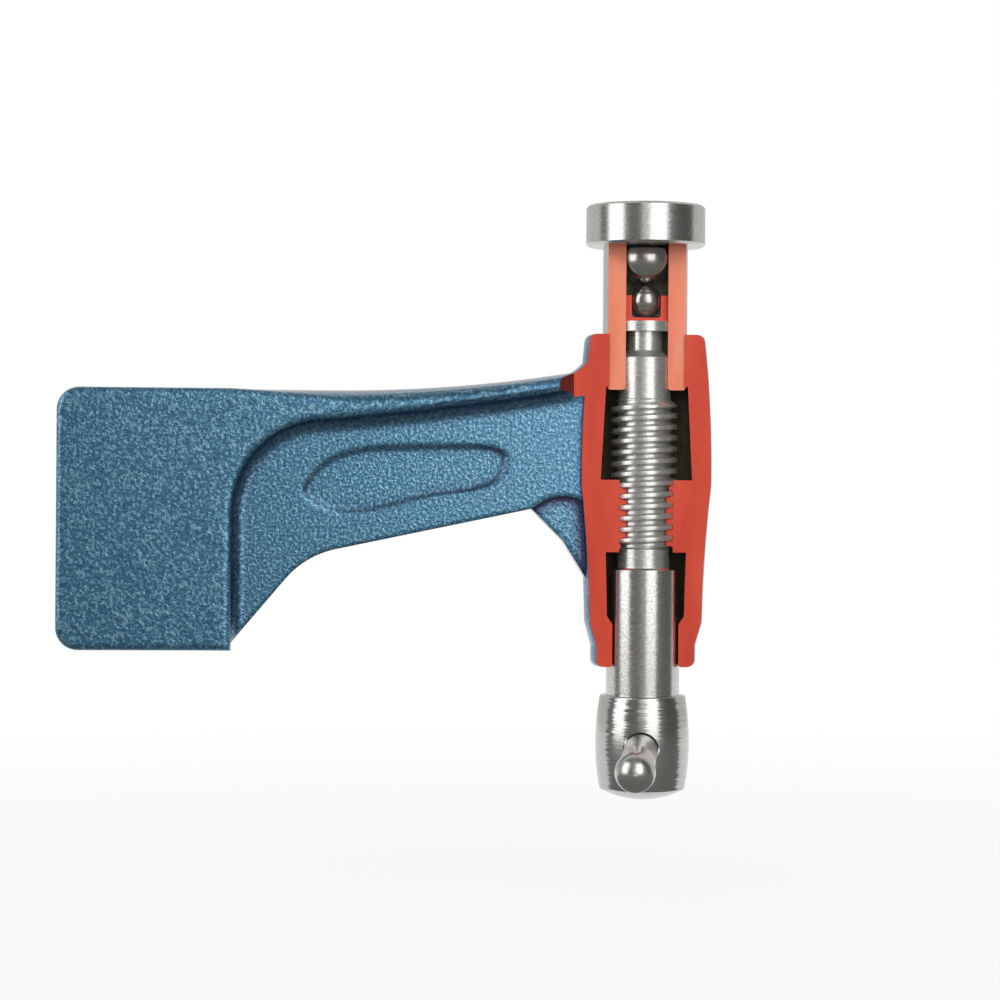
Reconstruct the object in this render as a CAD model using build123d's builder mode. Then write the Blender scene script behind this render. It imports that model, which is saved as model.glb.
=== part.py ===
"""Sliding arm of a bar clamp, milled open to show its ball-thrust plunger and screw spindle.

Millimetres. The origin is the centre of the rail slot. +Z runs up the spindle towards the
pressure pad, +X runs out along the arm, and the milled sections face -Y.
"""
import os
from math import asin, cos, degrees, radians, sin, sqrt, tan

from build123d import *

# Rail guide
rail_width = 30.0
rail_thickness = 8.0
rail_clearance = 0.2
throat = 120.0
guide_height = 70.0
guide_wall = 8.0
guide_corner = 6.0

# Arm casting
flange_width = 21.0
flange_thickness = 5.0
flange_flat = 26.0
flange_rise_radius = 400.0
flange_root = 9.9
flange_sag = 1.9
flange_guide_fillet = 25.0
web_thickness = 10.0
web_slope = 12.0
web_knee_run = 19.8
web_knee_radius = 24.0
web_tip_run = 31.0
web_tip_level = 3.4
web_foot = 2.0
cove_radius = 3.6
rim_round = 1.5
fillet_land = 0.3
gusset_thickness = 6.4
gusset_drop = 8.8
gusset_foot = 9.9
gusset_bend = 5.0
crease_rise = 3.4
gusset_round = 1.2
ramp_length = 4.2
ramp_rise = 2.4
ramp_hollow = 0.3
ramp_sink = 0.3
slot_chamfer = 0.8
panel_length = 56.6
panel_width = 17.2
panel_depth = 0.9
panel_bevel = 1.3
panel_tilt = 6.7
panel_run = 64.6
panel_level = 12.2
panel_shares = [(-1, 0.02), (-0.72, 0.83), (-0.1, 1), (0.6, 0.76), (0.97, 0.2), (0.94, -0.16),
                (0.3, -0.75), (-0.4, -1.02), (-0.85, -0.72)]

# Boss of the arm, from its top face down
boss_rise = 15.9
boss_length = 90.2
boss_top_radius = 16.3
boss_belly_radius = 18.4
boss_belly_drop = 41.0
boss_bulge = 0.65
boss_waist = 0.45
boss_skirt_radius = 16.1
boss_skirt_length = 12.1
boss_mouth_radius = 14.35
boss_mouth_length = 5.9
boss_edge = 2.0
sleeve_bore_length = 14.2
upper_cavity_length = 25.3
upper_cavity_top_radius = 12.4
upper_cavity_floor_radius = 13.6
nut_length = 19.6
lower_cavity_length = 17.3
lower_cavity_radius = 12.2
lower_cavity_draft = 0.4
lower_cone_length = 2.2
lip_round = 1.4
mouth_round = 0.8

# Milled sections, measured forward of the spindle axis
arm_section = 5.4
arm_section_run = 19.9
arm_section_flare = 4.6
sleeve_section = 4.4
seat_section = 2.4

# Plunger
stroke_down = 24.0
stroke_up = 4.0
stop_gap = 0.1
floor_gap = 0.4
shoulder_gap = 0.3
running_gap = 0.1
sleeve_diameter = 23.0
sleeve_wall = 4.25
sleeve_edge = 0.8
pad_diameter = 32.4
pad_thickness = 11.0
pad_socket = 3.7
pad_edge = 0.6
large_ball_diameter = 14.0
small_ball_diameter = 9.0
ball_gap = 0.05
seat_gap = 0.02
seat_floor = 1.1
seat_height = 7.1
seat_pocket_gap = 0.15
seat_corner = 0.8
pin_diameter = 4.0

# Spindle, from its tip down
tip_length = 2.7
neck_diameter = 9.4
neck_length = 5.2
neck_taper = 1.9
nose_length = 11.2
thread_diameter = 18.0
thread_edge = 1.2
undercut_diameter = 14.2
undercut_length = 5.1
shank_diameter = 20.0
shank_gap = 0.5
shank_edge = 0.5

# Spindle head and tommy bar
head_clearance = 3.8
head_length = 28.4
head_end_radius = 11.6
head_belly_radius = 12.75
head_dome = 3.0
head_edge = 0.6
head_socket = 22.5
bar_drop = 14.3
bar_diameter = 9.1
bar_gap = 0.45
bar_length = 158.0
bar_ball_diameter = 10.3
bar_neck_diameter = 5.6
bar_taper = 20.0
bar_angle = 8.6

# Levels and radii that follow from the sizes above
spindle_x = rail_width / 2 + throat
slot_half = rail_width / 2 + rail_clearance
guide_right = slot_half + guide_wall
guide_top = guide_height / 2
boss_top = guide_top + boss_rise
boss_bottom = boss_top - boss_length
sleeve_bore_end = boss_top - sleeve_bore_length
nut_top = sleeve_bore_end - upper_cavity_length
nut_bottom = nut_top - nut_length
lower_cavity_end = nut_bottom - lower_cavity_length
lower_bore_top = lower_cavity_end - lower_cone_length
sleeve_radius = sleeve_diameter / 2
bore_radius = sleeve_radius - sleeve_wall
thread_radius = thread_diameter / 2
undercut_radius = undercut_diameter / 2
shank_radius = shank_diameter / 2
neck_radius = neck_diameter / 2
nose_radius = bore_radius - running_gap
pad_bottom = boss_top + stroke_down + stop_gap
pad_floor = pad_bottom + pad_socket
sleeve_bottom = nut_top + stroke_down + floor_gap
large_ball_level = pad_floor - seat_gap - large_ball_diameter / 2
small_ball_top = large_ball_level - large_ball_diameter / 2 - ball_gap
small_ball_level = small_ball_top - small_ball_diameter / 2
seat_pocket_level = small_ball_level - small_ball_diameter / 2 - seat_gap
spindle_tip = seat_pocket_level - seat_floor
neck_top = spindle_tip - tip_length
neck_bottom = neck_top - neck_length
nose_top = neck_bottom - neck_taper
thread_top = nose_top - nose_length
shank_top = nut_bottom - stroke_up - shoulder_gap
thread_bottom = shank_top + undercut_length
head_top = boss_bottom - stroke_up - head_clearance
head_bottom = head_top - head_length
bar_level = head_top - bar_drop
shank_bottom = head_top - head_socket
pin_level = (neck_top + neck_bottom) / 2
pin_offset = neck_radius + running_gap + pin_diameter / 2
pin_half_length = sqrt(sleeve_radius ** 2 - (pin_offset + pin_diameter / 2) ** 2) - running_gap
spindle_axis = Axis((spindle_x, 0, 0), (0, 0, 1))
section_plane = Plane((spindle_x, 0, 0), x_dir=(1, 0, 0), z_dir=(0, -1, 0))
side_plane = Plane((0, 0, 0), x_dir=(1, 0, 0), z_dir=(0, -1, 0))
very_far = 4 * throat
near = 0.01
on_base = (Align.CENTER, Align.CENTER, Align.MIN)
in_front = (Align.CENTER, Align.MAX, Align.MAX)

os.makedirs("parts", exist_ok=True)


def save(builder, name):
    """Label one finished piece and write it as its own file."""
    builder.part.label = name
    export_step(builder.part, f"parts/{name}.step")


# Sliding arm: outline levels
flange_start = guide_right + flange_flat
flange_run = spindle_x - flange_start
flange_low = guide_top - flange_root
knee_x = guide_right + web_knee_run
tip_x = spindle_x - web_tip_run
knee_level = web_tip_level - (tip_x - knee_x) * tan(radians(web_slope))
web_end_x = spindle_x - boss_skirt_radius
web_end_level = web_tip_level + crease_rise / 2
gusset_x = tip_x + gusset_drop
gusset_level = web_tip_level - gusset_drop
rim_ledge = (flange_width - web_thickness) / 2


def flange_curve(depth, start):
    """Line and rising arc a depth below the top of the flange, from a start to the spindle."""
    radius = flange_rise_radius + depth
    Line((start, guide_top - depth), (flange_start, guide_top - depth))
    return JernArc((flange_start, guide_top - depth), (1, 0), radius, degrees(asin(flange_run / radius)))


def is_cove(edge):
    """Inner corner where the web meets the guide or the underside of the flange."""
    centre = edge.center()
    at_web_face = abs(abs(centre.Y) - web_thickness / 2) < near
    beside_guide = abs(centre.X - guide_right) < near
    under_flange = centre.Z > flange_low - flange_guide_fillet / 2 and centre.X < web_end_x
    return at_web_face and (beside_guide or under_flange)


def is_rim_edge(edge):
    """Outer corner of the guide and flange."""
    centre = edge.center()
    return abs(abs(centre.Y) - flange_width / 2) < near and centre.X < web_end_x


def flange_level(x):
    """Level of the top of the rising flange at a distance from the rail."""
    return guide_top + flange_rise_radius - sqrt(flange_rise_radius ** 2 - (x - flange_start) ** 2)


def panel_points(inset):
    """Points of the egg-shaped bare panel, blunt towards the guide."""
    long_half = panel_length / 2 - inset
    wide_half = panel_width / 2 - inset
    centre = Vector(spindle_x - panel_run, panel_level)
    level = [Vector(long_half * u, wide_half * v) for u, v in panel_shares]
    return [centre + point.rotate(Axis.Z, panel_tilt) for point in level]


# Sliding arm: guide and flange as one rim, with the web and gusset between them
with BuildPart() as sliding_arm:
    with BuildSketch(side_plane) as web:
        with BuildLine():
            middle = flange_curve(flange_thickness / 2, 0)
            Polyline(middle @ 1, (spindle_x, web_end_level), (web_end_x, web_end_level))
            crease = ((tip_x + web_end_x) / 2, web_tip_level + crease_rise)
            ThreePointArc((web_end_x, web_end_level), crease, (tip_x, web_tip_level))
            Polyline((tip_x, web_tip_level), (knee_x, knee_level), (guide_right, web_foot - guide_top),
                     (0, web_foot - guide_top), (0, guide_top - flange_thickness / 2))
        make_face()
        fillet(web.vertices().sort_by_distance((knee_x, knee_level))[0], web_knee_radius)
    extrude(amount=web_thickness / 2, both=True)
    with BuildSketch(side_plane) as rim:
        with BuildLine():
            upper = flange_curve(0, -guide_right) @ 1
            lower = upper - Vector(0, flange_thickness)
            under = Vector((guide_right + spindle_x) / 2, (flange_low + lower.Y) / 2 - flange_sag)
            ThreePointArc((guide_right, flange_low), under, lower)
            Line(upper, lower)
            Polyline((-guide_right, guide_top), (-guide_right, flange_low), (guide_right, flange_low))
        make_face()
        with Locations((0, -flange_root / 2)):
            Rectangle(2 * guide_right, guide_height - flange_root)
        fillet(rim.vertices().group_by(Axis.X)[0], guide_corner)
        fillet(rim.vertices().sort_by_distance((guide_right, flange_low))[0], flange_guide_fillet)
    extrude(amount=flange_width / 2, both=True)
    fillet(sliding_arm.edges().filter_by(is_cove), min(cove_radius, rim_ledge - rim_round - fillet_land))
    fillet(sliding_arm.edges().filter_by(is_rim_edge), rim_round)
    with BuildSketch(side_plane) as gusset:
        with BuildLine():
            Polyline((tip_x - gusset_round, web_tip_level), (tip_x, web_tip_level),
                     (gusset_x, gusset_level), (web_end_x, gusset_level - gusset_foot),
                     (spindle_x, gusset_level - gusset_foot), (spindle_x, guide_top),
                     (tip_x - gusset_round, guide_top), close=True)
        make_face()
        fillet(gusset.vertices().sort_by_distance((gusset_x, gusset_level))[0], gusset_bend)
        fillet(gusset.vertices().sort_by_distance((tip_x, web_tip_level))[0], gusset_round)
    extrude(amount=gusset_thickness / 2, both=True)

    # Boss: a barrel with a tapered skirt
    belly_level = boss_top - boss_belly_drop
    skirt_level = boss_bottom + boss_skirt_length
    middle_radius = (boss_top_radius + boss_belly_radius) / 2 + boss_bulge
    waist_radius = (boss_belly_radius + boss_skirt_radius) / 2 - boss_waist
    waist_level = (belly_level + skirt_level) / 2
    mouth_level = boss_bottom + boss_mouth_length
    with BuildSketch(section_plane) as barrel:
        with BuildLine():
            ThreePointArc((boss_top_radius, boss_top), (middle_radius, boss_top - boss_belly_drop / 2),
                          (boss_belly_radius, belly_level))
            ThreePointArc((boss_belly_radius, belly_level), (waist_radius, waist_level),
                          (boss_skirt_radius, skirt_level))
            Polyline((boss_skirt_radius, skirt_level), (boss_mouth_radius, mouth_level),
                     (boss_mouth_radius, boss_bottom), (0, boss_bottom), (0, boss_top),
                     (boss_top_radius, boss_top))
        make_face()
        fillet(barrel.vertices().sort_by_distance((boss_top_radius, boss_top))[0], boss_edge)
        fillet(barrel.vertices().sort_by_distance((boss_mouth_radius, boss_bottom))[0], boss_edge)
    revolve(axis=spindle_axis)

    # Hollow ramp from the top of the flange to the boss
    flange_end = flange_level(spindle_x - boss_top_radius)
    wall_share = (boss_top - flange_end) / (boss_belly_drop / 2)
    wall_radius = boss_top_radius + (middle_radius - boss_top_radius) * wall_share
    ramp_reach = wall_radius + ramp_length
    ramp_half = asin((flange_width / 2 - rim_round) / ramp_reach)
    ramp_plane = Plane((spindle_x, 0, 0), x_dir=(-cos(ramp_half), sin(ramp_half), 0),
                       z_dir=(sin(ramp_half), cos(ramp_half), 0))
    with BuildSketch(ramp_plane):
        with BuildLine():
            foot = (ramp_reach, flange_level(spindle_x - ramp_reach) - ramp_sink)
            crown = (wall_radius - ramp_sink, flange_end + ramp_rise)
            core_level = flange_end - flange_thickness / 2
            SagittaArc(foot, crown, ramp_hollow)
            Polyline(crown, (sleeve_radius, crown[1]), (sleeve_radius, core_level),
                     (ramp_reach, core_level), foot)
        make_face()
    revolve(axis=spindle_axis, revolution_arc=2 * degrees(ramp_half))

    # Bare panel sunk into both faces of the web
    for side in (1, -1):
        for depth, inset in ((0, 0), (panel_depth, panel_bevel)):
            with BuildSketch(side_plane.offset(side * (web_thickness / 2 - depth))):
                with BuildLine():
                    Spline(*panel_points(inset), periodic=True)
                make_face()
        loft(mode=Mode.SUBTRACT)

    # Rail slot with chamfered mouths
    with BuildSketch(Plane.XY.offset(-guide_top)):
        Rectangle(2 * slot_half, rail_thickness + 2 * rail_clearance)
    extrude(amount=guide_height, mode=Mode.SUBTRACT)
    mouths = sliding_arm.edges().filter_by(lambda e: abs(abs(e.center().Z) - guide_top) < near
                                           and abs(e.center().X) < slot_half + near
                                           and abs(e.center().Y) < rail_thickness)
    chamfer(mouths, slot_chamfer)

    # Bores and cavities along the spindle
    sleeve_bore = sleeve_radius + running_gap
    nut_bore = thread_radius + running_gap
    shank_bore = shank_radius + shank_gap
    with BuildSketch(section_plane) as bores:
        Polygon((0, boss_top), (sleeve_bore, boss_top), (sleeve_bore, sleeve_bore_end),
                (upper_cavity_top_radius, sleeve_bore_end), (upper_cavity_floor_radius, nut_top),
                (nut_bore, nut_top), (nut_bore, nut_bottom), (lower_cavity_radius, nut_bottom),
                (lower_cavity_radius - lower_cavity_draft, lower_cavity_end),
                (shank_bore, lower_bore_top), (shank_bore, boss_bottom), (0, boss_bottom))
        fillet(bores.vertices().sort_by_distance((shank_bore, lower_bore_top))[0], lip_round)
    revolve(axis=spindle_axis, mode=Mode.SUBTRACT)
    rings = sliding_arm.edges().filter_by(GeomType.CIRCLE).filter_by(
        lambda e: abs(e.radius - shank_bore) < near and abs(e.center().Z - boss_bottom) < near)
    fillet(rings, mouth_round)

    # Milled section through the boss, with a sloping wall where the cutter leaves the flange
    cut_start = spindle_x - arm_section_run
    cut_far = cut_start - arm_section_flare * (very_far - arm_section) / arm_section
    with BuildSketch(Plane.XY.offset(boss_bottom)):
        with BuildLine():
            Polyline((cut_start, -arm_section), (spindle_x + very_far, -arm_section),
                     (spindle_x + very_far, -very_far), (cut_far, -very_far), close=True)
        make_face()
    extrude(amount=boss_length + flange_rise_radius, mode=Mode.SUBTRACT)
save(sliding_arm, "sliding_arm")

# Plunger sleeve: tube pressed into the pad and milled open below it
with BuildPart() as plunger_sleeve:
    with BuildSketch(section_plane):
        Polygon((bore_radius, sleeve_bottom), (sleeve_radius, sleeve_bottom), (sleeve_radius, pad_floor),
                (bore_radius, pad_floor))
    revolve(axis=spindle_axis)
    fillet(plunger_sleeve.faces().sort_by(Axis.Z)[0].edges(), sleeve_edge)
    with Locations(Location((spindle_x, pin_offset, pin_level), (0, 90, 0))):
        Cylinder(pin_diameter / 2, 2 * sleeve_diameter, mode=Mode.SUBTRACT)
    with Locations((spindle_x, -sleeve_section, pad_bottom)):
        Box(very_far, very_far, very_far, align=in_front, mode=Mode.SUBTRACT)
save(plunger_sleeve, "plunger_sleeve")

# Pressure pad: disc with a blind socket for the sleeve
with BuildPart() as pressure_pad:
    with Locations((spindle_x, 0, pad_bottom)):
        Cylinder(pad_diameter / 2, pad_thickness, align=on_base)
        Cylinder(sleeve_radius, pad_socket, align=on_base, mode=Mode.SUBTRACT)
    circles = pressure_pad.edges().filter_by(GeomType.CIRCLE)
    chamfer(circles.filter_by(lambda e: e.radius > sleeve_radius + near), pad_edge)
save(pressure_pad, "pressure_pad")

# Thrust balls, the large one against the pad and the small one in its seat
for name, diameter, level in (("large_ball", large_ball_diameter, large_ball_level),
                              ("small_ball", small_ball_diameter, small_ball_level)):
    with BuildPart() as ball:
        with Locations((spindle_x, 0, level)):
            Sphere(diameter / 2)
    save(ball, name)

# Ball seat: cup on the spindle tip, milled open closer to the axis than the sleeve
pocket_radius = small_ball_diameter / 2 + seat_pocket_gap
seat_top = spindle_tip + seat_height
with BuildPart() as ball_seat:
    with BuildSketch(section_plane) as cup:
        with BuildLine():
            Polyline((0, spindle_tip), (nose_radius, spindle_tip), (nose_radius, seat_top),
                     (pocket_radius, seat_top), (pocket_radius, seat_pocket_level),
                     (0, seat_pocket_level), close=True)
        make_face()
        fillet(cup.vertices().sort_by_distance((pocket_radius, seat_pocket_level))[0], seat_corner)
    revolve(axis=spindle_axis)
    with Locations((spindle_x, -seat_section, pad_bottom)):
        Box(very_far, very_far, very_far, align=in_front, mode=Mode.SUBTRACT)
save(ball_seat, "ball_seat")

# Retaining pin behind the neck of the spindle
with BuildPart() as retaining_pin:
    with Locations(Location((spindle_x, pin_offset, pin_level), (0, 90, 0))):
        Cylinder(pin_diameter / 2, 2 * pin_half_length)
save(retaining_pin, "retaining_pin")

# Spindle: tip, neck, nose, thread envelope, undercut and shank
bar_direction = (-sin(radians(bar_angle)), -cos(radians(bar_angle)), 0)
bar_plane = Plane((spindle_x, 0, bar_level), x_dir=bar_direction, z_dir=(0, 0, 1))
bar_hole_plane = Plane(bar_plane.origin, x_dir=(0, 0, 1), z_dir=bar_plane.x_dir)
with BuildPart() as spindle:
    with BuildSketch(section_plane):
        Polygon((0, spindle_tip), (nose_radius, spindle_tip), (nose_radius, neck_top),
                (neck_radius, neck_top), (neck_radius, neck_bottom), (nose_radius, nose_top),
                (nose_radius, thread_top), (thread_radius - thread_edge, thread_top),
                (thread_radius, thread_top - thread_edge), (thread_radius, thread_bottom + thread_edge),
                (thread_radius - thread_edge, thread_bottom), (undercut_radius, thread_bottom),
                (undercut_radius, shank_top), (shank_radius - shank_edge, shank_top),
                (shank_radius, shank_top - shank_edge), (shank_radius, shank_bottom), (0, shank_bottom))
    revolve(axis=spindle_axis)
    with BuildSketch(bar_hole_plane):
        Circle(bar_diameter / 2 + bar_gap)
    extrude(amount=bar_length / 2, both=True, mode=Mode.SUBTRACT)
save(spindle, "spindle")

# Spindle head: barrel with a domed end, pressed on the shank
dome_start = head_bottom + head_dome
dome_radius = (head_end_radius ** 2 + head_dome ** 2) / (2 * head_dome)
dome_middle = head_bottom + dome_radius - sqrt(dome_radius ** 2 - head_end_radius ** 2 / 4)
with BuildPart() as spindle_head:
    with BuildSketch(section_plane) as head_profile:
        with BuildLine():
            ThreePointArc((head_end_radius, head_top), (head_belly_radius, (head_top + dome_start) / 2),
                          (head_end_radius, dome_start))
            ThreePointArc((head_end_radius, dome_start), (head_end_radius / 2, dome_middle),
                          (0, head_bottom))
            Polyline((0, head_bottom), (0, shank_bottom), (shank_radius, shank_bottom),
                     (shank_radius, head_top), (head_end_radius, head_top))
        make_face()
        for level in (head_top, dome_start):
            fillet(head_profile.vertices().sort_by_distance((head_end_radius, level))[0], head_edge)
    revolve(axis=spindle_axis)
    with BuildSketch(bar_hole_plane):
        Circle(bar_diameter / 2 + bar_gap)
    extrude(amount=bar_length / 2, both=True, mode=Mode.SUBTRACT)
save(spindle_head, "spindle_head")

# Tommy bar: straight middle, tapered necks and ball ends
ball_radius = bar_ball_diameter / 2
ball_centre = bar_length / 2 - ball_radius
neck_start = ball_centre - sqrt(ball_radius ** 2 - bar_neck_diameter ** 2 / 4)
taper_start = neck_start - bar_taper
with BuildPart() as tommy_bar:
    with BuildSketch(bar_plane):
        with BuildLine():
            Line((-taper_start, bar_diameter / 2), (taper_start, bar_diameter / 2))
            Line((-bar_length / 2, 0), (bar_length / 2, 0))
            for end in (-1, 1):
                Line((end * taper_start, bar_diameter / 2), (end * neck_start, bar_neck_diameter / 2))
                ThreePointArc((end * neck_start, bar_neck_diameter / 2), (end * ball_centre, ball_radius),
                              (end * bar_length / 2, 0))
        make_face()
    revolve(axis=Axis(bar_plane.origin, bar_plane.x_dir))
save(tommy_bar, "tommy_bar")
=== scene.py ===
"""Sectioned sliding arm of a bar clamp: finishes, crowned flange, screw threads, studio light and camera.

Metres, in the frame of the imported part. +Z runs up the spindle and the sections face -Y.
"""
from math import atan2, cos, hypot, pi, radians, sin, sqrt

import bmesh
import bpy
from mathutils import Matrix, Vector


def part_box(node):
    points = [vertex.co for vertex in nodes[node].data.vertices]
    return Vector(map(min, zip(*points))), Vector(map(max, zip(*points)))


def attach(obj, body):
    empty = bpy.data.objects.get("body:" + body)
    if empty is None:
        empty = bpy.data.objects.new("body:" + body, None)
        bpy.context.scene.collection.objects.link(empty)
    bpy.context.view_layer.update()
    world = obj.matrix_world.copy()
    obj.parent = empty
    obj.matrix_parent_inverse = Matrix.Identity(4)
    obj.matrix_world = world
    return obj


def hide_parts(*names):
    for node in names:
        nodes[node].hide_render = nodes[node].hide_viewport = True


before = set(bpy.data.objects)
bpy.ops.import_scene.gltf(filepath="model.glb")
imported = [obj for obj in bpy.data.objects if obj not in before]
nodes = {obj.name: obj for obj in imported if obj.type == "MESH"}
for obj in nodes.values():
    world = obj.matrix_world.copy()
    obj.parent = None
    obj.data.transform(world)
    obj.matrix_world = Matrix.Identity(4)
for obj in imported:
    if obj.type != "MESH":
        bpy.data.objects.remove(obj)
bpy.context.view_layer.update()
mm = 0.001

# Places read from the frame
pad_low, pad_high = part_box("pressure_pad")
arm_low, arm_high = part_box("sliding_arm")
seat_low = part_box("ball_seat")[0]
head_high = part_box("spindle_head")[1]
axis_x = (pad_low.x + pad_high.x) / 2
boss_bottom = arm_low.z
boss_top = arm_high.z

# Sections and bores of the part
arm_section = 5.4 * mm
sleeve_section = 4.4 * mm
seat_section = -seat_low.y
cut_wall_start = axis_x - 26 * mm
cavity_reach = 13.75 * mm
cavity_below_top = 0.3 * mm
cavity_above_bottom = 1 * mm
sleeve_bore = 7.3 * mm
slot_half = 15.3 * mm
slot_depth = 4.3 * mm

# Flange of the arm and its crown
guide_top = 35 * mm
guide_right = 23.2 * mm
flange_start = 49.2 * mm
flange_rise_radius = 400 * mm
flange_half = 10.5 * mm
boss_reach = 17.3 * mm
rim_round = 1.5 * mm
rim_depth = rim_round + 0.1 * mm
crown_at_guide = 2.2 * mm
crown_at_boss = 1.3 * mm
crown_fade = 4 * mm
crown_cuts = 6

# Spindle, from its tip down
spindle_tip = 54.51 * mm
neck_top = 51.81 * mm
neck_bottom = 46.61 * mm
nose_top = 44.71 * mm
thread_top = 33.51 * mm
thread_bottom = -7.4 * mm
shank_top = -12.5 * mm
shank_edge = 0.5 * mm
shank_end = head_high.z - mm
neck_radius = 4.7 * mm
nose_radius = 7.15 * mm
undercut_radius = 7.1 * mm
shank_radius = 10 * mm

# Screw thread and nut, with profiles as shares of the pitch and of the thread's depth
pitch = 3.0 * mm
thread_radius = 9.0 * mm
root_radius = 7.25 * mm
crest_angle = radians(-143)
crest_level = 9.87 * mm
crest_profile = [(-0.5, 0), (-0.38, 0), (-0.33, 0.07), (-0.22, 0.86), (-0.17, 0.98), (0, 1),
                 (0.17, 0.98), (0.22, 0.86), (0.33, 0.07), (0.38, 0)]
nut_top = 11.4 * mm
nut_bottom = -8.2 * mm
nut_radius = 9.1 * mm
nut_tip_radius = 7.6 * mm
nut_sink = 0.02 * mm
nut_run_out = 0.5
nut_profile = [(-0.3, 0), (-0.15, 1), (0.15, 1), (0.3, 0)]
steps_per_turn = 96

# Limits below which places are one place, and faces lie on a section
merge_reach = 0.001 * mm
section_reach = 0.02 * mm
sharp_angle = radians(35)


def link_new(obj):
    """Put a new object into the scene."""
    bpy.context.scene.collection.objects.link(obj)
    return obj


# Materials
class Finish:
    """One Principled material, with short ways to add procedural detail to it."""

    def __init__(self, name, colour, roughness, metallic=0.0):
        self.material = bpy.data.materials.new(name)
        self.material.use_nodes = True
        self.tree = self.material.node_tree
        self.shader = self.tree.nodes["Principled BSDF"]
        self.set("Base Color", (*colour, 1))
        self.set("Roughness", roughness)
        self.set("Metallic", metallic)
        self.place = self.add("ShaderNodeTexCoord").outputs["Object"]

    def set(self, socket, value):
        self.shader.inputs[socket].default_value = value

    def add(self, kind, **settings):
        """New node with some of its settings given."""
        node = self.tree.nodes.new(kind)
        for key, value in settings.items():
            setattr(node, key, value)
        return node

    def join(self, output, target):
        self.tree.links.new(output, target)

    def stretched(self, scale):
        """Object coordinates scaled by a factor along each axis."""
        mapping = self.add("ShaderNodeMapping")
        mapping.inputs["Scale"].default_value = scale
        self.join(self.place, mapping.inputs["Vector"])
        return mapping.outputs["Vector"]

    def noise(self, scale, detail=2.0, vector=None, roughness=0.5):
        """Noise value at a number of cycles per metre."""
        node = self.add("ShaderNodeTexNoise")
        node.inputs["Scale"].default_value = scale
        node.inputs["Detail"].default_value = detail
        node.inputs["Roughness"].default_value = roughness
        self.join(vector or self.place, node.inputs["Vector"])
        return node.outputs["Fac"]

    def ramp(self, value, *stops):
        """Colours at places along a value."""
        node = self.add("ShaderNodeValToRGB")
        elements = node.color_ramp.elements
        while len(elements) < len(stops):
            elements.new(0.5)
        for element, (position, colour) in zip(elements, stops):
            element.position = position
            element.color = (*colour, 1)
        self.join(value, node.inputs["Fac"])
        return node.outputs["Color"]

    def spread(self, value, low, high, start=0.3, end=0.7):
        """Value mapped from a part of its range to another range."""
        node = self.add("ShaderNodeMapRange")
        for socket, number in zip(("From Min", "From Max", "To Min", "To Max"), (start, end, low, high)):
            node.inputs[socket].default_value = number
        self.join(value, node.inputs["Value"])
        return node.outputs["Result"]

    def bump(self, height, strength, depth, under=None):
        """Relief of a real depth, laid over another relief."""
        node = self.add("ShaderNodeBump")
        node.inputs["Strength"].default_value = strength
        node.inputs["Distance"].default_value = depth
        self.join(height, node.inputs["Height"])
        if under:
            self.join(under, node.inputs["Normal"])
        self.join(node.outputs["Normal"], self.shader.inputs["Normal"])
        return node.outputs["Normal"]

    def swung(self, value, angle):
        """Normal swung about the vertical by a value, to either side by an angle at most."""
        normal = self.add("ShaderNodeNewGeometry").outputs["Normal"]
        across = self.add("ShaderNodeVectorMath", operation="CROSS_PRODUCT")
        across.inputs[1].default_value = (0, 0, 1)
        self.join(normal, across.inputs[0])
        swing = self.add("ShaderNodeVectorMath", operation="MULTIPLY_ADD")
        self.join(across.outputs["Vector"], swing.inputs[0])
        self.join(self.spread(value, -angle, angle), swing.inputs[1])
        self.join(normal, swing.inputs[2])
        unit = self.add("ShaderNodeVectorMath", operation="NORMALIZE")
        self.join(swing.outputs["Vector"], unit.inputs[0])
        return unit.outputs["Vector"]

    def colour_from(self, output):
        self.join(output, self.shader.inputs["Base Color"])

    def roughness_from(self, output):
        self.join(output, self.shader.inputs["Roughness"])


def make_blue_paint():
    """Hammered metallic paint of the casting, with painted shade darkening its recesses, and soft at its
    edges.
    """
    dark, plain, light = (0.026, 0.128, 0.245), (0.05, 0.2, 0.338), (0.22, 0.43, 0.53)
    # Dark navy colour of the painted shade.
    painted_shade_colour = (0.016, 0.01, 0.075)
    finish = Finish("hammered_blue", plain, 0.2, 0.76)
    grain = finish.noise(1200, 2, roughness=0.65)
    speckled = finish.ramp(grain, (0.34, dark), (0.5, plain), (0.66, light))
    # Painted shade: the colour is mixed towards the dark navy where ambient occlusion finds recesses, such as
    # the cove under the flange and the panel's edges.
    painted_shade_occlusion = finish.add("ShaderNodeAmbientOcclusion", samples=8, only_local=True)
    painted_shade_occlusion.inputs["Distance"].default_value = 4 * mm
    shade = finish.add("ShaderNodeMix", data_type="RGBA")
    shade.inputs["A"].default_value = (*painted_shade_colour, 1)
    openness = finish.spread(painted_shade_occlusion.outputs["AO"], low=0, high=1, start=0.78, end=0.985)
    finish.join(openness, shade.inputs["Factor"])
    finish.join(speckled, shade.inputs["B"])
    finish.colour_from(shade.outputs["Result"])
    finish.roughness_from(finish.spread(finish.noise(300), low=0.16, high=0.24))
    finish.set("Specular Tint", (0.4, 0.5, 0.6, 1))
    finish.set("Coat Weight", 1.0)
    finish.set("Coat Roughness", 0.1)
    edges = finish.add("ShaderNodeBevel", samples=6)
    edges.inputs["Radius"].default_value = 2 * mm
    relief = finish.bump(grain, strength=1.0, depth=0.15 * mm, under=edges.outputs["Normal"])
    finish.join(relief, finish.shader.inputs["Coat Normal"])
    return finish.material


def make_section_paint(name, dark, plain, light):
    """Brushed-on paint of a milled section; also made darkened, as painted shade."""
    finish = Finish(name, plain, 0.5)
    finish.set("Specular IOR Level", 0.25)
    strokes = finish.noise(160, 4, finish.stretched((1, 1, 0.25)))
    finish.colour_from(finish.ramp(strokes, (0.3, dark), (0.5, plain), (0.72, light)))
    finish.bump(finish.noise(900, 2), strength=0.25, depth=0.05 * mm)
    return finish.material


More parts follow.
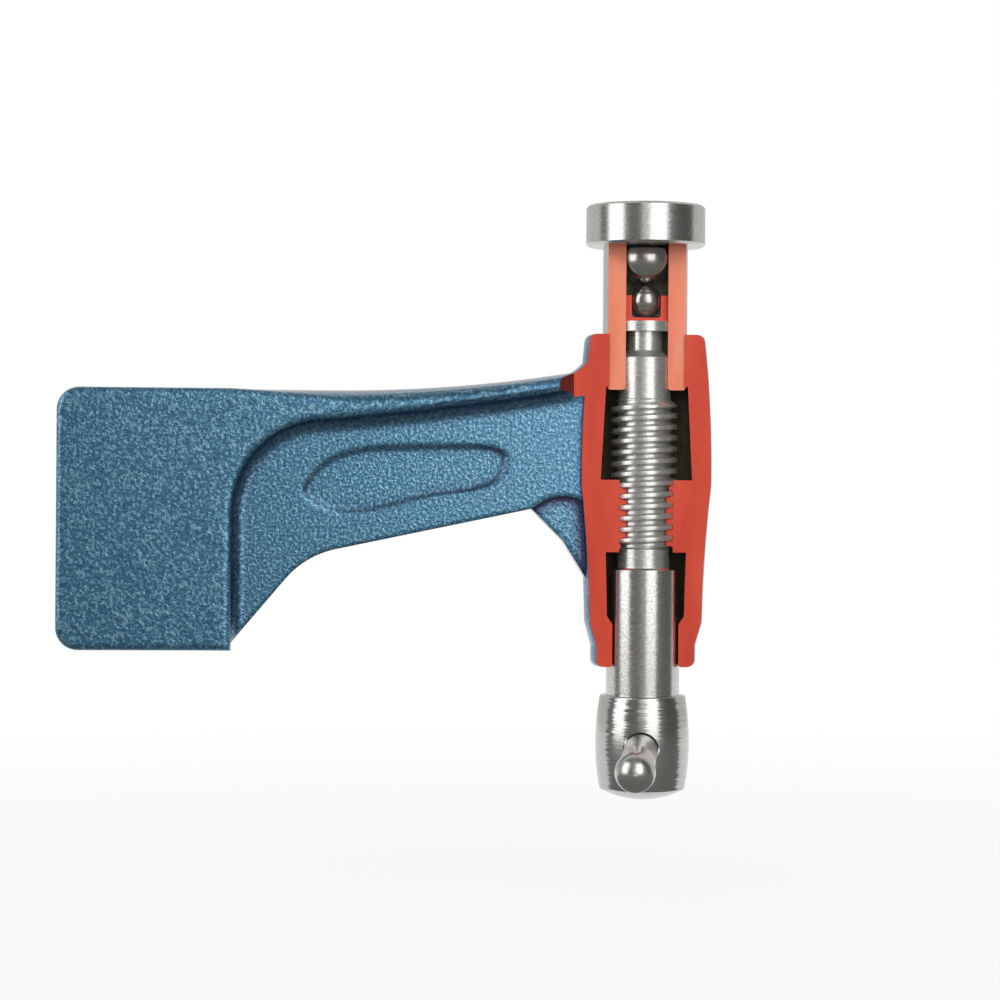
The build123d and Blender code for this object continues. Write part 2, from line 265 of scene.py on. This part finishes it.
def make_turned_steel(name, colour, roughness, line_depth, swing, grain_depth, speckle, along=(1, 1, 32),
                      metallic=1.0):
    """Steel with fine turned lines across one axis, the swing of a chattering tool and a satin grain."""
    finish = Finish(name, colour, roughness, metallic)
    lines = finish.noise(80, 1, finish.stretched(along), 0.6)
    grain = finish.noise(1900, 2, roughness=0.7)
    low = tuple((1 - speckle) * share for share in colour)
    high = tuple((1 + speckle) * share for share in colour)
    finish.colour_from(finish.ramp(grain, (0.36, low), (0.64, high)))
    finish.roughness_from(finish.spread(lines, roughness - 0.03, roughness + 0.04))
    under = finish.bump(lines, 0.5, line_depth, finish.swung(lines, swing))
    finish.bump(grain, 0.5, grain_depth, under)
    return finish.material


def make_polished_steel():
    """Bearing-ball steel."""
    finish = Finish("ball_steel", (0.5, 0.48, 0.44), 0.22, 0.96)
    finish.roughness_from(finish.spread(finish.noise(400), low=0.18, high=0.27))
    return finish.material


def make_bare_iron():
    """Machined walls of the rail slot."""
    finish = Finish("bare_iron", (0.22, 0.21, 0.2), 0.45, 0.9)
    finish.roughness_from(finish.spread(finish.noise(500, 3), low=0.35, high=0.6))
    finish.bump(finish.noise(700, 3), strength=0.4, depth=0.08 * mm)
    return finish.material


def make_dark_walls(name, dark, light):
    """Dark speckled walls: oiled ones in the arm's cavity, and in the sleeve's steel bore a dark colour that
    stands for painted shade.
    """
    finish = Finish(name, dark, 0.6)
    finish.colour_from(finish.ramp(finish.noise(250, 3), (0.3, dark), (0.7, light)))
    finish.set("Specular IOR Level", 0.2)
    return finish.material


blue_paint = make_blue_paint()
section_red = make_section_paint("section_red", dark=(0.62, 0.05, 0.021), plain=(0.7, 0.06, 0.026),
                                 light=(0.76, 0.08, 0.038))
section_salmon = make_section_paint("section_salmon", dark=(0.88, 0.23, 0.125), plain=(0.96, 0.275, 0.155),
                                    light=(0.97, 0.34, 0.22))
# Painted shade: a darkened copy of the section red for the cutter's sloping wall, which lies in shade.
painted_shade_red = make_section_paint("painted_shade_red", dark=(0.07, 0.018, 0.012), plain=(0.16, 0.024, 0.014),
                                light=(0.22, 0.03, 0.016))
pad_steel = make_turned_steel("pad_steel", (0.58, 0.575, 0.555), 0.22, line_depth=0.002 * mm, swing=0.004,
                              grain_depth=0.028 * mm, speckle=0.14)
head_steel = make_turned_steel("head_steel", (0.52, 0.525, 0.505), 0.2, line_depth=0.014 * mm, swing=0.055,
                               grain_depth=0.008 * mm, speckle=0.05)
spindle_steel = make_turned_steel("spindle_steel", (0.6, 0.595, 0.575), 0.22, line_depth=0.006 * mm,
                                  swing=0.012, grain_depth=0.024 * mm, speckle=0.14)
thread_steel = make_turned_steel("thread_steel", (0.64, 0.635, 0.61), 0.27, line_depth=0.002 * mm,
                                 swing=0.004, grain_depth=0.024 * mm, speckle=0.12, metallic=0.78)
bar_steel = make_turned_steel("bar_steel", (0.58, 0.58, 0.56), 0.27, line_depth=0.03 * mm, swing=0.02,
                              grain_depth=0.01 * mm, speckle=0.06, along=(1, 32, 1))
ball_steel = make_polished_steel()
bare_iron = make_bare_iron()
oiled_cavity = make_dark_walls("oiled_cavity", dark=(0.085, 0.075, 0.047), light=(0.125, 0.108, 0.07))
# Painted shade: the sleeve's steel bore is coloured dark olive for the shade inside it.
painted_shade_bore = make_dark_walls("painted_shade_bore", dark=(0.16, 0.15, 0.1), light=(0.26, 0.24, 0.17))


# Finishes of the CAD nodes, face by face
def paint(node, *materials):
    """Give a CAD node its materials, the first one all over."""
    mesh = nodes[node].data
    mesh.materials.clear()
    for material in materials:
        mesh.materials.append(material)
    for polygon in mesh.polygons:
        polygon.material_index = 0


def repaint(node, material, chosen):
    """Give the faces that pass a test another of the node's materials."""
    mesh = nodes[node].data
    index = mesh.materials.find(material.name)
    for polygon in mesh.polygons:
        if chosen(polygon.center, polygon.normal):
            polygon.material_index = index


def from_axis(point):
    """Distance of a point from the spindle axis."""
    return hypot(point.x - axis_x, point.y)


def faces_axis(centre, normal):
    """True for a face that looks towards the spindle axis or along it."""
    return (centre.x - axis_x) * normal.x + centre.y * normal.y < merge_reach


def on_section(depth):
    """Test for the faces of a milled section a depth in front of the axis."""
    return lambda centre, normal: normal.y < -0.999 and abs(centre.y + depth) < section_reach


def on_cut_wall(centre, normal):
    """Sloping wall that the cutter left in the flange."""
    sloping = normal.x > 0.6 and normal.y < -0.4 and abs(normal.z) < 0.01
    return sloping and cut_wall_start < centre.x < axis_x


def in_cavity(centre, normal):
    within = boss_bottom + cavity_above_bottom < centre.z < boss_top - cavity_below_top
    return within and from_axis(centre) < cavity_reach and faces_axis(centre, normal)


def in_rail_slot(centre, normal):
    return abs(centre.x) < slot_half and abs(centre.y) < slot_depth


def in_sleeve_bore(centre, normal):
    return from_axis(centre) < sleeve_bore and faces_axis(centre, normal)


paint("sliding_arm", blue_paint, section_red, oiled_cavity, bare_iron, painted_shade_red)
repaint("sliding_arm", oiled_cavity, in_cavity)
repaint("sliding_arm", section_red, on_section(arm_section))
# The cutter's sloping wall gets the darkened section red, as painted shade.
repaint("sliding_arm", painted_shade_red, on_cut_wall)
repaint("sliding_arm", bare_iron, in_rail_slot)
paint("plunger_sleeve", pad_steel, section_salmon, painted_shade_bore)
# The sleeve's bore gets the dark olive of painted shade.
repaint("plunger_sleeve", painted_shade_bore, in_sleeve_bore)
repaint("plunger_sleeve", section_salmon, on_section(sleeve_section))
paint("ball_seat", thread_steel, section_red)
repaint("ball_seat", section_red, on_section(seat_section))
paint("pressure_pad", pad_steel)
paint("spindle_head", head_steel)
paint("large_ball", ball_steel)
paint("small_ball", ball_steel)
paint("retaining_pin", spindle_steel)
paint("tommy_bar", bar_steel)


# Meshes
def drop_flat_faces(mesh):
    """Remove the faces that a cut or an end of a thread has pressed to nothing."""
    bmesh.ops.dissolve_degenerate(mesh, dist=merge_reach, edges=mesh.edges)
    loose = [edge for edge in mesh.edges if not edge.link_faces]
    bmesh.ops.delete(mesh, geom=loose, context="EDGES")


def finish_mesh(mesh, name, *materials):
    """Object from a mesh, smooth but for its sharp edges."""
    mesh.normal_update()
    for face in mesh.faces:
        face.smooth = True
    for edge in mesh.edges:
        edge.smooth = edge.calc_face_angle(0) < sharp_angle
    data = bpy.data.meshes.new(name)
    mesh.to_mesh(data)
    mesh.free()
    for material in materials:
        data.materials.append(material)
    return link_new(bpy.data.objects.new(name, data))


# Crowned flange
def flange_depth(place):
    """How far a point lies below the top of the flange."""
    rise = max(place.x - flange_start, 0)
    return guide_top + flange_rise_radius - sqrt(flange_rise_radius ** 2 - rise ** 2) - place.z


def on_crown(place):
    """True for a point of the flange's top or of the rounding along it."""
    beside_boss = from_axis(place) > boss_reach and place.x < axis_x
    return place.x > guide_right - merge_reach and beside_boss and flange_depth(place) < rim_depth


def crown_height(place):
    """Height of the crown along the arm, growing from the guide and fading out at the boss."""
    grown = min((place.x - guide_right) / (flange_start - guide_right), 1)
    along = max((place.x - flange_start) / (axis_x - boss_reach - flange_start), 0)
    faded = min((from_axis(place) - boss_reach) / crown_fade, 1)
    return grown * faded * (crown_at_guide + (crown_at_boss - crown_at_guide) * along)


def cut_crown_steps(mesh):
    """Cut the top of the flange along and across, so that it can bend."""
    flat = flange_start - guide_right
    lengths = [guide_right + flat * step / crown_cuts for step in range(crown_cuts + 1)]
    widths = [flange_half * step / crown_cuts for step in range(1 - crown_cuts, crown_cuts)]
    cuts = [((length, 0, 0), (1, 0, 0)) for length in lengths]
    cuts += [((0, width, 0), (0, 1, 0)) for width in widths]
    for place, along in cuts:
        top = [face for face in mesh.faces
               if any(on_crown(vert.co) for vert in face.verts)
               and all(flange_depth(vert.co) < rim_depth for vert in face.verts)]
        geom = {part for face in top for part in (face, *face.edges, *face.verts)}
        bmesh.ops.bisect_plane(mesh, geom=list(geom), plane_co=place, plane_no=along, dist=merge_reach)
    drop_flat_faces(mesh)


def make_crowned_arm():
    """Arm with the top of its flange crowned across, as a casting's is, and the CAD's shading kept."""
    source = nodes["sliding_arm"].data
    mesh = bmesh.new()
    mesh.from_mesh(source)
    shading = mesh.loops.layers.float_vector.new("shading")
    corners = [loop for face in mesh.faces for loop in face.loops]
    for loop, corner in zip(corners, source.corner_normals):
        loop[shading] = corner.vector
    bmesh.ops.remove_doubles(mesh, verts=mesh.verts, dist=merge_reach)
    cut_crown_steps(mesh)
    for vert in mesh.verts:
        if on_crown(vert.co):
            share = vert.co.y / flange_half
            height = crown_height(vert.co)
            for loop in vert.link_loops:
                loop[shading] += Vector((0, loop[shading].z * 2 * height * share / flange_half, 0))
            vert.co.z -= height * share ** 2
    normals = [loop[shading].normalized() for face in mesh.faces for loop in face.loops]
    arm = finish_mesh(mesh, "crowned_arm", *source.materials)
    arm.data.normals_split_custom_set(normals)
    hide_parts("sliding_arm")
    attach(arm, "arm")


# Screw threads
def crest_height(angle):
    """Level of a crest of the spindle thread at an angle about the axis."""
    return crest_level + pitch * (angle - crest_angle) / (2 * pi)


def thread_limit(level):
    """Radius that the chamfered ends of the thread allow at a level."""
    return min(nose_radius + thread_top - level, undercut_radius + level - thread_bottom)


def add_point(mesh, radius, angle, level):
    """Add a point about the spindle axis to a mesh."""
    return mesh.verts.new((axis_x + radius * cos(angle), radius * sin(angle), level))


def add_thread(mesh):
    """Add the helical surface of the spindle thread to a mesh."""
    first = 2 * pi * (thread_bottom - crest_level - pitch) / pitch + crest_angle
    turns = (thread_top - thread_bottom + 2 * pitch) / pitch
    rows = []
    for step in range(int(turns * steps_per_turn) + 1):
        angle = first + 2 * pi * step / steps_per_turn
        row = []
        for share, height in crest_profile:
            level = crest_height(angle) + share * pitch
            level = min(max(level, thread_bottom), thread_top)
            radius = min(root_radius + height * (thread_radius - root_radius), thread_limit(level))
            row.append(add_point(mesh, radius, angle, level))
        rows.append(row)
    for step, (row, after) in enumerate(zip(rows, rows[1:])):
        for here in range(len(crest_profile) - 1):
            mesh.faces.new((row[here], after[here], after[here + 1], row[here + 1]))
        if step + steps_per_turn + 1 < len(rows):
            above, above_after = rows[step + steps_per_turn], rows[step + steps_per_turn + 1]
            mesh.faces.new((row[-1], after[-1], above_after[0], above[0]))


def add_lathed(mesh, *profile):
    """Add a surface of revolution about the spindle axis, from radius and level points."""
    angles = [2 * pi * step / steps_per_turn for step in range(steps_per_turn)]
    rows = [[add_point(mesh, radius, angle, level) for angle in angles] for radius, level in profile]
    for row, below in zip(rows, rows[1:]):
        for step in range(steps_per_turn):
            after = (step + 1) % steps_per_turn
            mesh.faces.new((row[after], row[step], below[step], below[after]))


def make_spindle():
    """Spindle with its screw cut: turned above the head, and the CAD solid with its cross hole inside it."""
    mesh = bmesh.new()
    mesh.from_mesh(nodes["spindle"].data)
    bmesh.ops.bisect_plane(mesh, geom=mesh.verts[:] + mesh.edges[:] + mesh.faces[:],
                           plane_co=(0, 0, shank_end), plane_no=(0, 0, 1), clear_outer=True)
    add_lathed(mesh, (0, spindle_tip), (nose_radius, spindle_tip), (nose_radius, neck_top),
               (neck_radius, neck_top), (neck_radius, neck_bottom), (nose_radius, nose_top),
               (nose_radius, thread_top))
    add_lathed(mesh, (undercut_radius, thread_bottom), (undercut_radius, shank_top),
               (shank_radius - shank_edge, shank_top), (shank_radius, shank_top - shank_edge),
               (shank_radius, shank_end))
    bmesh.ops.remove_doubles(mesh, verts=mesh.verts, dist=merge_reach)
    add_thread(mesh)
    drop_flat_faces(mesh)
    for face in mesh.faces:
        face.material_index = int(face.calc_center_median().z > shank_top)
    spindle = finish_mesh(mesh, "screw_spindle", spindle_steel, thread_steel)
    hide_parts("spindle")
    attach(spindle, "spindle")


def nut_ridge(level):
    """Height of a ridge of the nut's thread at a level, which runs out at both ends of the nut."""
    ridge_half = nut_profile[-1][0]
    room = min(level - nut_bottom, nut_top - level) / pitch - ridge_half
    return (nut_radius - nut_tip_radius) * min(max(room / nut_run_out, 0), 1)


def make_nut_thread():
    """Thread inside the boss, milled off at the section as the boss is."""
    mesh = bmesh.new()
    count = steps_per_turn // 2
    lowest = int((nut_bottom - crest_level) / pitch) - 1
    highest = int((nut_top - crest_level) / pitch)
    for turn in range(lowest, highest):
        rows = []
        for step in range(count + 1):
            row = []
            for share, height in nut_profile:
                middle = crest_height(pi * step / count) + (turn + 0.5) * pitch
                radius = nut_radius + nut_sink - height * nut_ridge(middle)
                start = -atan2(arm_section, sqrt(radius ** 2 - arm_section ** 2))
                angle = start + (pi - 2 * start) * step / count
                level = crest_height(angle) + (turn + 0.5 + share) * pitch
                level = min(max(level, nut_bottom), nut_top)
                row.append(add_point(mesh, radius, angle, level))
            rows.append(row)
        for row, after in zip(rows, rows[1:]):
            for here in range(len(nut_profile) - 1):
                mesh.faces.new((row[here], row[here + 1], after[here + 1], after[here]))
        for cap in (rows[0], rows[-1][::-1]):
            mesh.faces.new(cap).material_index = 1
    drop_flat_faces(mesh)
    nut = finish_mesh(mesh, "nut_thread", oiled_cavity, section_red)
    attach(nut, "arm")


make_crowned_arm()
make_spindle()
make_nut_thread()


# View of the photograph
view_yaw = radians(4.5)
view_roll = radians(0.42)
view_target = Vector((0.1, 0, 0))
view_level = 5.7 * mm
view_distance = 790 * mm
view_shift = 39.2 * mm
lens_length = 104.3
sensor_width = 36

# Floor, surroundings and booth
floor_level = -0.108
floor_reach = 6.0
ambient_light = 0.12
booth_step = 2
wall_radius = 1.5
wall_lifts = range(-4, 97, 10)
glow_radius = 1.45
glow_lifts = (6, 18)
apron_level = -0.104
apron_start = 0.006


def seen_share(tree):
    """One for camera, glossy and transmission rays, and none for the rest."""
    rays = tree.nodes.new("ShaderNodeLightPath").outputs
    total = rays["Is Camera Ray"]
    for name in ("Is Glossy Ray", "Is Transmission Ray"):
        join = tree.nodes.new("ShaderNodeMath")
        join.operation = "MAXIMUM"
        tree.links.new(total, join.inputs[0])
        tree.links.new(rays[name], join.inputs[1])
        total = join.outputs["Value"]
    return total


def make_floor():
    """Plain pale floor, white to the camera but for the part's soft shadow."""
    mesh = bpy.data.meshes.new("floor")
    corners = [(-1, -1), (1, -1), (1, 1), (-1, 1)]
    mesh.from_pydata([(floor_reach * x, floor_reach * y, 0) for x, y in corners], [], [(0, 1, 2, 3)])
    floor = link_new(bpy.data.objects.new("floor", mesh))
    floor.location = (axis_x, 0, floor_level)
    finish = Finish("floor_white", (0.9, 0.9, 0.9), 0.9)
    distance = finish.add("ShaderNodeVectorMath", operation="LENGTH")
    finish.join(finish.place, distance.inputs[0])
    white = finish.spread(distance.outputs["Value"], low=0.9, high=1, start=0.1, end=0.7)
    seen = seen_share(finish.tree)
    finish.colour_from(finish.spread(seen, low=0.2, high=0.9, start=0, end=1))
    share = finish.add("ShaderNodeMath", operation="MULTIPLY")
    finish.join(white, share.inputs[0])
    finish.join(seen, share.inputs[1])
    glow = finish.add("ShaderNodeEmission")
    mix = finish.add("ShaderNodeMixShader")
    finish.join(share.outputs["Value"], mix.inputs["Fac"])
    finish.join(finish.shader.outputs["BSDF"], mix.inputs[1])
    finish.join(glow.outputs["Emission"], mix.inputs[2])
    finish.join(mix.outputs["Shader"], finish.tree.nodes["Material Output"].inputs["Surface"])
    mesh.materials.append(finish.material)


def make_world():
    """White surroundings that light the part at a plain level."""
    world = bpy.data.worlds.new("studio")
    bpy.context.scene.world = world
    world.use_nodes = True
    tree = world.node_tree
    background = tree.nodes["Background"]
    background.inputs["Color"].default_value = (1, 1, 1, 1)
    strength = tree.nodes.new("ShaderNodeMapRange")
    strength.inputs["To Min"].default_value = ambient_light
    tree.links.new(seen_share(tree), strength.inputs["Value"])
    tree.links.new(strength.outputs["Result"], background.inputs["Strength"])


def around(angle, distance, level):
    """Point at an angle in degrees round from the camera's side of the part, to the right where positive."""
    turn = radians(angle) - view_yaw
    return view_target + Vector((distance * sin(turn), -distance * cos(turn), level))


def arc(radius, lifts):
    """Distance and level points on an upright arc, at lifts in degrees."""
    return [(radius * cos(radians(lift)), radius * sin(radians(lift))) for lift in lifts]


def make_booth(first, last, brightness, profile):
    """Part of a dim booth between two angles, which only reflections show, from distance and level points."""
    mesh = bpy.data.meshes.new("booth")
    turns = range(first, last + 1, booth_step)
    corners = [around(turn, distance, level) for turn in turns for distance, level in profile]
    size = len(profile)
    faces = []
    for start in range(0, len(corners) - size, size):
        faces += [(start + k, start + k + 1, start + size + k + 1, start + size + k) for k in range(size - 1)]
    mesh.from_pydata(corners, [], faces)
    booth = link_new(bpy.data.objects.new("booth", mesh))
    finish = Finish("booth_grey", (0.1, 0.1, 0.1), 0.9)
    finish.set("Emission Color", (1, 0.99, 0.96, 1))
    finish.set("Emission Strength", brightness)
    mesh.materials.append(finish.material)
    booth.visible_camera = booth.visible_diffuse = booth.visible_shadow = booth.visible_transmission = False


def make_lamp(name, place, size, brightness, lights=True, shows=True):
    """Soft area lamp of a given brightness that faces the part, lights it and shows in its steel."""
    data = bpy.data.lights.new(name, "AREA")
    data.shape = "RECTANGLE"
    data.size, data.size_y = size
    data.energy = brightness * pi * size[0] * size[1]
    lamp = link_new(bpy.data.objects.new(name, data))
    lamp.location = place
    lamp.rotation_euler = (view_target - place).to_track_quat("-Z", "Y").to_euler()
    lamp.visible_camera = False
    lamp.visible_diffuse = lights
    lamp.visible_glossy = shows


def make_camera():
    """Camera at the photograph's view, a little left of the section's normal."""
    data = bpy.data.cameras.new("camera")
    data.sensor_width = sensor_width
    data.lens = lens_length
    camera = link_new(bpy.data.objects.new("camera", data))
    forward = Vector((sin(view_yaw), cos(view_yaw), 0))
    right = Vector((cos(view_yaw), -sin(view_yaw), 0))
    place = Vector((axis_x, 0, view_level)) - view_distance * forward - view_shift * right
    turn = forward.to_track_quat("-Z", "Y").to_matrix().to_4x4()
    camera.matrix_world = Matrix.Translation(place) @ turn @ Matrix.Rotation(view_roll, 4, "Z")
    bpy.context.scene.camera = camera


make_floor()
make_world()
wall = arc(wall_radius, wall_lifts)
for first, last, brightness in ((-180, -100, 0.66), (-100, -12, 0.14), (-12, -2, 0.32), (-2, 8, 0.44),
                                (8, 60, 0.14), (60, 100, 0.08), (100, 180, 0.66)):
    make_booth(first, last, brightness, wall)
make_booth(-100, 100, 0.12, [(apron_start, apron_level), (wall_radius, apron_level)])
make_booth(-8, 8, 0.95, arc(glow_radius, glow_lifts))
make_lamp("left_softbox", around(-61, 0.9, 0.3), size=(0.58, 1.1), brightness=2.0, lights=False)
make_lamp("right_softbox", around(25, 0.9, 0.3), size=(0.56, 1.1), brightness=2.0, lights=False)
make_lamp("key_softbox", around(-10, 0.87, 0.68), size=(1.2, 0.4), brightness=2.45, shows=False)
make_lamp("fill_softbox", around(10, 1.3, 0.2), size=(1.2, 1.2), brightness=2.95, shows=False)
make_camera()
bpy.context.scene.view_settings.view_transform = "Standard"
